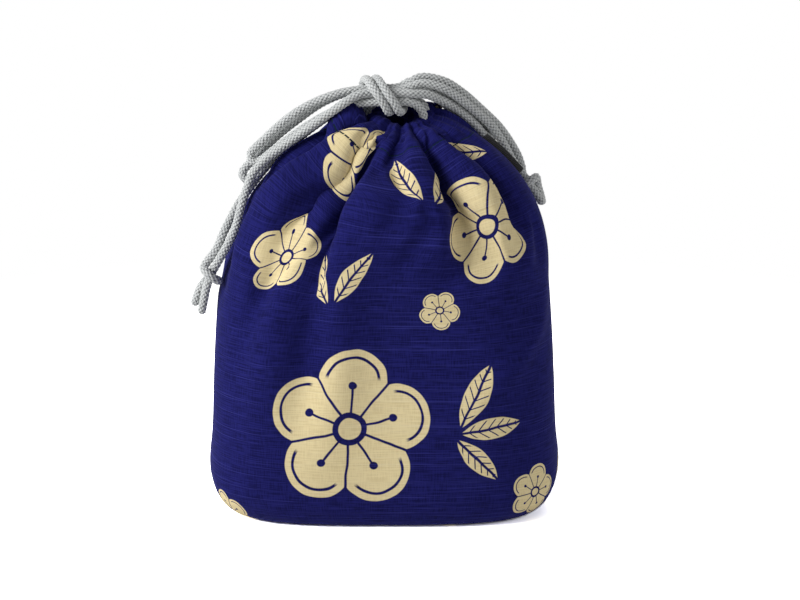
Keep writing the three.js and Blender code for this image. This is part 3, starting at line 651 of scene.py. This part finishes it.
# Cords. Two round braided cords run through the channel, the right one out at the right and the left one
# out at the left. Their four ends are tied in a bow over the mouth, and each pair is knotted at its tail.
cord_diameter = 0.005
channel_radius, channel_step = 0.013, 24
right_channel, left_channel = neck_height - 0.0045, neck_height - 0.0101
knot_radius, knot_pitch = 0.005, 0.006
plaits = 6
plait_length = 0.0026
braid_relief = 0.0010
columns_of_cord, cord_step = 40, 0.0005
# The last of these colours is painted shade, for the hollows between the braid's yarns.
yarn_grey, yarn_light, yarn_painted_shade = linear(200, 203, 203), linear(226, 228, 227), linear(96, 99, 103)


def channel_arc(start, end, height):
    """Points along the channel from one angle to another, on a ring that leans to the front."""
    count = math.ceil(abs(end - start) / channel_step)
    a = np.radians(np.linspace(start, end, count + 1))
    x, y = channel_radius * np.cos(a), channel_radius * np.sin(a)
    return np.stack([neck_offset + x, y, height + rim_tilt * np.sin(a)], 1)


def knot_turn(centre, axis, side):
    """Three quarters of a turn, in steps of 45 degrees, round an axis through the tail knot's centre, going
    down it by one pitch."""
    down = np.array(axis) / np.linalg.norm(axis)
    out = np.array(side) - np.dot(side, down) * down
    out /= np.linalg.norm(out)
    share = np.linspace(0, 1, 7)[:, None]
    a = -1.5 * np.pi * share
    ring = knot_radius * (np.cos(a) * out + np.sin(a) * np.cross(down, out))
    return np.array(centre) + ring + knot_pitch * (share - 0.5) * down


right_front = np.array([
    (0.021, -0.006, 0.2115), (0.0214, -0.0053, 0.217), (0.0185, -0.007, 0.2225),
    (0.013, -0.0096, 0.2255), (0.006, -0.0104, 0.2254), (-0.006, -0.01, 0.2254),
    (-0.015, -0.0088, 0.2243), (-0.029, -0.0085, 0.219), (-0.042, -0.0085, 0.2115),
    (-0.054, -0.0085, 0.203), (-0.0605, -0.0084, 0.1977), (-0.066, -0.008, 0.1934),
    (-0.0685, -0.0076, 0.1926), (-0.0707, -0.0072, 0.1938), (-0.0714, -0.0068, 0.1963),
    (-0.0701, -0.0064, 0.1987), (-0.0645, -0.006, 0.204), (-0.0565, -0.006, 0.2115),
    (-0.0445, -0.006, 0.2205), (-0.031, -0.006, 0.227), (-0.018, -0.0055, 0.2305),
    (-0.006, -0.0052, 0.2307), (0.006, -0.0052, 0.2308), (0.012, -0.005, 0.2318),
    (0.0205, -0.0035, 0.2343), (0.031, -0.0015, 0.2318), (0.0395, 0.002, 0.2265), (0.05, 0.007, 0.2175),
    (0.058, 0.011, 0.2095), (0.0645, 0.014, 0.2), (0.071, 0.017, 0.188), (0.0765, 0.0184, 0.1805),
    (0.081, 0.0184, 0.174), (0.0845, 0.018, 0.169), (0.088, 0.0175, 0.164),
])
right_back = np.vstack([[
    (0.021, 0.0052, 0.214), (0.0222, 0.0028, 0.2153), (0.0224, 0.001, 0.218), (0.0217, -0.0004, 0.2215),
    (0.0188, -0.002, 0.2244), (0.013, -0.004, 0.2256), (0.006, -0.0052, 0.2256),
    (-0.006, -0.005, 0.2255), (-0.015, -0.0034, 0.2237), (-0.029, -0.003, 0.217),
    (-0.0425, -0.003, 0.2075), (-0.056, -0.003, 0.197), (-0.066, -0.0026, 0.1873),
    (-0.0707, -0.0022, 0.1828), (-0.0731, -0.0018, 0.1817), (-0.0755, -0.0014, 0.1827),
    (-0.0764, -0.001, 0.1851), (-0.0752, -0.0007, 0.1875), (-0.068, -0.0005, 0.195),
    (-0.058, -0.0005, 0.205), (-0.046, -0.0005, 0.2145), (-0.033, -0.0003, 0.2235),
    (-0.018, 0.0, 0.2295), (-0.006, 0.0, 0.2311), (0.006, 0.0, 0.2314), (0.012, 0.0006, 0.233),
    (0.0195, 0.002, 0.2368), (0.032, 0.0045, 0.2345), (0.042, 0.008, 0.228), (0.054, 0.013, 0.2168),
    (0.0625, 0.017, 0.208), (0.0695, 0.0208, 0.198), (0.0745, 0.023, 0.1885),
], knot_turn((0.078, 0.0185, 0.1783), (5, 0, -6.5), (0, 1, 0)), [
    (0.085, 0.0215, 0.1735), (0.0865, 0.023, 0.1685), (0.088, 0.023, 0.1625),
]])
left_front = np.array([
    (-0.0065, 0.0015, 0.2065), (-0.0083, 0.0038, 0.2105), (-0.0088, 0.005, 0.217),
    (-0.0105, 0.0066, 0.2245), (-0.0114, 0.0066, 0.2297), (-0.0106, 0.0038, 0.2346),
    (-0.0088, -0.004, 0.2364), (-0.0066, -0.012, 0.235), (-0.0035, -0.0159, 0.2308),
    (0.0, -0.0158, 0.226), (0.0025, -0.013, 0.221), (0.004, -0.007, 0.2202), (0.0052, -0.001, 0.2206),
    (0.0065, 0.0048, 0.224), (0.0085, 0.006, 0.2295), (0.013, 0.0068, 0.2334), (0.0215, 0.008, 0.233),
    (0.0305, 0.01, 0.2285), (0.039, 0.0123, 0.2235), (0.046, 0.015, 0.217), (0.052, 0.0178, 0.2115),
    (0.0553, 0.0186, 0.2085), (0.0582, 0.018, 0.2055), (0.0595, 0.0156, 0.203), (0.0583, 0.013, 0.2018),
    (0.055, 0.0115, 0.2035), (0.0495, 0.009, 0.21), (0.0405, 0.0055, 0.2185), (0.034, 0.0015, 0.223),
    (0.0285, -0.002, 0.226), (0.0235, -0.0055, 0.2285), (0.015, -0.0096, 0.2298),
    (0.006, -0.0104, 0.2305), (-0.006, -0.0104, 0.2304), (-0.014, -0.012, 0.2292),
    (-0.021, -0.0138, 0.2253), (-0.03, -0.014, 0.219), (-0.039, -0.014, 0.2125),
    (-0.046, -0.014, 0.2075), (-0.055, -0.014, 0.201), (-0.063, -0.014, 0.195),
    (-0.0695, -0.014, 0.188), (-0.0735, -0.015, 0.1785), (-0.077, -0.016, 0.167),
    (-0.08, -0.016, 0.157), (-0.0845, -0.017, 0.148), (-0.0895, -0.017, 0.1395),
    (-0.0935, -0.0163, 0.132), (-0.0958, -0.0163, 0.1255), (-0.0975, -0.016, 0.118),
    (-0.0993, -0.0153, 0.11),
])
left_back = np.vstack([[
    (-0.0015, 0.0122, 0.2105), (-0.0048, 0.012, 0.2135), (-0.0058, 0.0112, 0.219),
    (-0.0058, 0.0098, 0.2253), (-0.0062, 0.007, 0.2304), (-0.0052, 0.0036, 0.235),
    (-0.0034, -0.004, 0.2366), (-0.001, -0.012, 0.235), (0.0021, -0.0159, 0.2308),
    (0.0057, -0.0158, 0.226), (0.0082, -0.013, 0.221), (0.0096, -0.007, 0.2202),
    (0.0106, -0.001, 0.2206), (0.0118, 0.0048, 0.2235), (0.014, 0.0082, 0.2275), (0.018, 0.011, 0.229),
    (0.023, 0.013, 0.228), (0.031, 0.0155, 0.2235), (0.039, 0.018, 0.217), (0.0455, 0.0205, 0.2095),
    (0.052, 0.0235, 0.207), (0.0552, 0.0243, 0.2025), (0.0566, 0.023, 0.1986), (0.055, 0.0202, 0.1968),
    (0.0516, 0.018, 0.199), (0.0473, 0.0155, 0.205), (0.043, 0.013, 0.2105), (0.0355, 0.0088, 0.219),
    (0.0288, 0.0053, 0.2253), (0.023, 0.0036, 0.2282), (0.017, 0.0022, 0.2294), (0.011, 0.0004, 0.2276),
    (0.006, 0.0, 0.227), (-0.006, 0.0003, 0.227), (-0.015, 0.002, 0.225), (-0.024, 0.0028, 0.2195),
    (-0.033, 0.003, 0.2135), (-0.045, 0.003, 0.2045), (-0.0585, 0.0032, 0.1935),
    (-0.067, 0.0036, 0.184), (-0.0735, 0.0025, 0.1755), (-0.079, -0.0025, 0.168),
    (-0.083, -0.008, 0.161), (-0.0865, -0.012, 0.1545), (-0.09, -0.014, 0.1465),
], knot_turn((-0.0935, -0.0163, 0.132), (-5.8, 0.5, -13), (-1, 0, 0.4)), [
    (-0.098, -0.0118, 0.1265), (-0.1008, -0.0133, 0.1215), (-0.103, -0.015, 0.1145),
]])


def smooth_route(points, step):
    """Evenly spaced points on the centripetal spline through a route: between two points the curve is the
    cubic whose end slopes come from the neighbours, weighted by the square root of the spacing."""
    shares = 60
    ends = np.vstack([2 * points[0] - points[1], points, 2 * points[-1] - points[-2]])
    a, b, c, d = (ends[k:len(ends) - 3 + k, None] for k in range(4))
    pairs = ((a, b), (b, c), (c, d))
    ab, bc, cd = (np.sqrt(np.linalg.norm(q - p, axis=2, keepdims=True)) for p, q in pairs)
    slope_b = ((b - a) / ab - (c - a) / (ab + bc) + (c - b) / bc) * bc
    slope_c = ((c - b) / bc - (d - b) / (bc + cd) + (d - c) / cd) * bc
    t = np.linspace(0, 1, shares, endpoint=False)[None, :, None]
    curve = (
        b + slope_b * t + (3 * (c - b) - 2 * slope_b - slope_c) * t ** 2
        + (2 * (b - c) + slope_b + slope_c) * t ** 3
    ).reshape(-1, 3)
    curve = np.vstack([curve, points[-1]])
    length = np.concatenate([[0], np.cumsum(np.linalg.norm(np.diff(curve, axis=0), axis=1))])
    place = np.linspace(0, length[-1], round(length[-1] / step) + 1)
    return np.stack([np.interp(place, length, curve[:, k]) for k in range(3)], 1), place


def untwisted_sides(route):
    """Two unit directions square to the route that don't turn about it: the pair got from a direction that
    the route never takes, turned back by the running total of its own twist."""
    forward = np.gradient(route, axis=0)
    forward /= np.linalg.norm(forward, axis=1, keepdims=True)
    aside = (0.31, 0.83, 0.47)
    first = np.cross(forward, aside)
    first /= np.linalg.norm(first, axis=1, keepdims=True)
    second = np.cross(forward, first)
    twist = -np.concatenate([[0], np.cumsum((np.diff(first, axis=0) * second[:-1]).sum(1))])[:, None]
    steady = np.cos(twist) * first + np.sin(twist) * second
    return steady, np.cross(forward, steady)


def braided_cord(name, points):
    """Tube along a route whose skin is a round braid. Two sets of helices divide the skin into cells; by
    turns the yarn of one set or of the other is on top, and each cell is a pillow with a round back across
    its yarn that dips at its two ends. The skin's height is kept as an attribute, which the material uses
    to paint shade into the hollows, and the ends are domed."""
    yarn_round, yarn_dip, dome_length = 0.95, 0.45, 0.45 * cord_diameter
    route, place = smooth_route(points, cord_step)
    first, second = untwisted_sides(route)
    turn = np.linspace(0, 2 * np.pi, columns_of_cord + 1)[None, :]
    one = plaits * turn / (2 * np.pi) + place[:, None] / plait_length
    other = plaits * turn / (2 * np.pi) - place[:, None] / plait_length
    across_one = 2 * (one - np.floor(one)) - 1
    across_other = 2 * (other - np.floor(other)) - 1
    on_top = (np.floor(one) + np.floor(other)) % 2 == 0
    across = np.where(on_top, across_one, across_other)
    along = np.where(on_top, across_other, across_one)
    skin = np.sqrt(np.maximum(1 - yarn_round * across ** 2, 0)) * (1 - yarn_dip * along ** 2)
    from_end = np.minimum(place, place[-1] - place) / dome_length
    dome = np.sqrt(1 - (1 - np.clip(from_end, 0, 1)) ** 2)[:, None]
    radius = (cord_diameter / 2 - braid_relief * (1 - skin)) * dome
    ring = np.cos(turn)[:, :, None] * first[:, None] + np.sin(turn)[:, :, None] * second[:, None]
    tube = route[:, None] + radius[:, :, None] * ring
    flat = np.stack(np.broadcast_arrays(turn * cord_diameter / 2, place[:, None]), 2)
    cord = grid_object(name, tube[:, :-1], flat)
    inside = skin[:, :-1].ravel()
    kept = cord.data.attributes.new("braid", "FLOAT", "POINT")
    kept.data.foreach_set("value", inside[columns_of_cord - 1:len(inside) - columns_of_cord + 1])
    return cord, route, place[-1]


def cord_material():
    """Pale grey braid: each yarn is a little streaked and clouded, and the hollows between get painted
    shade.
    """
    material, start = new_material("grey_braid")
    place = start.node("ShaderNodeUVMap", {"uv_map": "flat"}, {})
    fibre = start.node(
        "ShaderNodeTexNoise", {"noise_dimensions": "2D"}, {"Vector": place, "Scale": 2200, "Detail": 2})
    cloud = start.node(
        "ShaderNodeTexNoise", {"noise_dimensions": "2D"}, {"Vector": place, "Scale": 120, "Detail": 2})
    skin = start.node("ShaderNodeAttribute", {"attribute_name": "braid"}, {}, 2)
    tone = fibre.ease(0.25, 0.75) * 0.6 + cloud * 0.4
    yarn = tone.blend(yarn_grey, yarn_light)
    # Painted shade: the colour darkens to the painted shade colour where the braid's skin lies low.
    colour = skin.ease(0.2, 0.85).blend(yarn_painted_shade, yarn)
    bump = start.node("ShaderNodeBump", {}, {"Strength": 0.3, "Distance": 0.0003, "Height": fibre})
    shader = start.node(
        "ShaderNodeBsdfPrincipled", {},
        {"Base Color": colour, "Roughness": 0.8, "Specular IOR Level": 0.25, "Sheen Weight": 0.1,
         "Normal": bump})
    start.node("ShaderNodeOutputMaterial", {}, {"Surface": shader})
    return material


def press_in(cloth, route):
    """Hollows under a cord: a point of the shoulders that is in the cord or over it goes in along its normal
    to the cord's underside, and the rows and columns beside it follow part of the way."""
    highest, passes, follow = 0.015, 3, 0.5
    rows = slice(shoulder_row, neck_row)
    normal = surface_normals(cloth)[rows].reshape(-1, 3)
    place = cloth[rows].reshape(-1, 3)
    above = (place * normal).sum(1)[:, None] - normal @ route.T
    apart = (place ** 2).sum(1)[:, None] + (route ** 2).sum(1) - 2 * place @ route.T
    room = (cord_diameter / 2 + cloth_thickness) ** 2 - (apart - above ** 2)
    depth = np.where((room > 0) & (above < highest), above + np.sqrt(np.maximum(room, 0)), 0).max(1)
    depth = np.maximum(depth, 0).reshape(-1, columns)
    for _ in range(passes):
        beside = (np.roll(depth, 1, 1) + np.roll(depth, -1, 1)) / 2
        upright = np.pad(depth, ((1, 1), (0, 0)))
        depth = np.maximum(depth, follow * np.maximum(beside, (upright[2:] + upright[:-2]) / 2))
    moved = cloth.copy()
    moved[rows] -= normal.reshape(-1, columns, 3) * depth[:, :, None]
    return moved


grey_braid = cord_material()
strands = {
    "right_cord_front": ("right_cord", channel_arc(172, 322, right_channel), right_front),
    "right_cord_back": ("right_cord", channel_arc(188, 40, right_channel), right_back),
    "left_cord_front": ("left_cord", channel_arc(368, 190, left_channel), left_front),
    "left_cord_back": ("left_cord", channel_arc(-8, 118, left_channel), left_back),
}
# A cord presses on the cloth from a few steps past its way out, and every second step of it is enough.
clear_steps, every = 12, 2
pressed = pouch_points
for name, (node, in_channel, free) in strands.items():
    strand, route, length = braided_cord(name, np.vstack([in_channel, free]))
    way_out = tuple(free[0].tolist())
    leaves = np.argmin(np.linalg.norm(route - way_out, axis=1))
    pressed = press_in(pressed, route[leaves + clear_steps::every])
    strand.data.materials.append(grey_braid)
    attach(strand, "root")
    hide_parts(node)
pouch.data.vertices.foreach_set("co", np.vstack([pressed[0, :1], pressed[1:].reshape(-1, 3)]).ravel())
pouch.data.update()

# Studio. A white floor that runs on out of view, one large soft light on the left of the front, weaker ones
# on the right and behind, and a camera that looks a little down on the front.
white, shade_of_room = (1, 1, 1, 1), (0.12, 0.12, 0.12, 1)
paper_lit, paper_seen = (0.8, 0.8, 0.8, 1), (4.5, 4.5, 4.5, 1)
paper_near, paper_far = 0.25, 0.6


def in_sight(start):
    """1 where the camera looks, straight on, mirrored or through a clear pane, and 0 for lighting."""
    rays = ("Is Camera Ray", "Is Glossy Ray", "Is Transmission Ray")
    straight, mirrored, through = (start.node("ShaderNodeLightPath", {}, {}, ray) for ray in rays)
    return straight.math("MAXIMUM", straight, mirrored.math("MAXIMUM", mirrored, through))


def floor_material():
    """White paper. Seen directly it is full white away from the pouch and keeps the pouch's shadow."""
    material, start = new_material("white_paper")
    sight = in_sight(start)
    paper = start.node("ShaderNodeBsdfDiffuse", {}, {"Color": sight.blend(paper_lit, paper_seen)})
    glow = start.node("ShaderNodeEmission", {}, {"Color": white, "Strength": 1.0})
    spot = start.node("ShaderNodeTexCoord", {}, {}, 3)
    away = start.node("ShaderNodeVectorMath", {"operation": "LENGTH"}, {0: spot}, 1)
    far = away.ease(paper_near, paper_far) * sight
    both = start.node("ShaderNodeMixShader", {}, {0: far, 1: paper, 2: glow})
    start.node("ShaderNodeOutputMaterial", {}, {"Surface": both})
    return material


floor_side, floor_front, floor_back = 8, -4, 12
floor_mesh = bpy.data.meshes.new("floor")
floor_mesh.from_pydata([
    (-floor_side, floor_front, 0), (floor_side, floor_front, 0), (floor_side, floor_back, 0),
    (-floor_side, floor_back, 0)], [], [(0, 1, 2, 3)])
floor = bpy.data.objects.new("floor", floor_mesh)
bpy.context.collection.objects.link(floor)
floor.data.materials.append(floor_material())


def soft_light(name, place, target, size, power):
    """Square soft light at a place, turned to face a target."""
    lamp = bpy.data.lights.new(name, "AREA")
    lamp.size = size
    lamp.energy = power
    light = bpy.data.objects.new(name, lamp)
    light.location = place
    aim = np.array(target) - np.array(place)
    light.rotation_euler = (
        math.atan2(math.hypot(aim[0], aim[1]), -aim[2]), 0, math.atan2(aim[1], aim[0]) - math.pi / 2)
    bpy.context.collection.objects.link(light)


pouch_middle = (0, 0, 0.1)
soft_light("key", (-1.5, -0.75, 1.15), pouch_middle, size=0.9, power=38)
soft_light("side", (1.5, -0.5, 0.75), pouch_middle, size=1.0, power=7)
soft_light("back", (0.5, 1.7, 1.2), pouch_middle, size=1.4, power=11)

world = bpy.data.worlds.new("studio")
bpy.context.scene.world = world
world.use_nodes = True
world.node_tree.nodes.clear()
sky = Value(world.node_tree)
seen_sky = in_sight(sky).blend(shade_of_room, white)
air = sky.node("ShaderNodeBackground", {}, {"Color": seen_sky, "Strength": 1.0})
sky.node("ShaderNodeOutputWorld", {}, {"Surface": air})
bpy.context.scene.view_settings.view_transform = "Standard"

view_target = (0.0088, 0, 0.114)
view_distance, view_angle = 1.150, math.radians(14.5)
lens = bpy.data.cameras.new("camera")
lens.sensor_width = 36
lens.lens = 94.1
camera = bpy.data.objects.new("camera", lens)
camera.location = (
    view_target[0], view_target[1] - view_distance * math.cos(view_angle),
    view_target[2] + view_distance * math.sin(view_angle))
camera.rotation_euler = (math.pi / 2 - view_angle, 0, 0)
bpy.context.collection.objects.link(camera)
bpy.context.scene.camera = camera
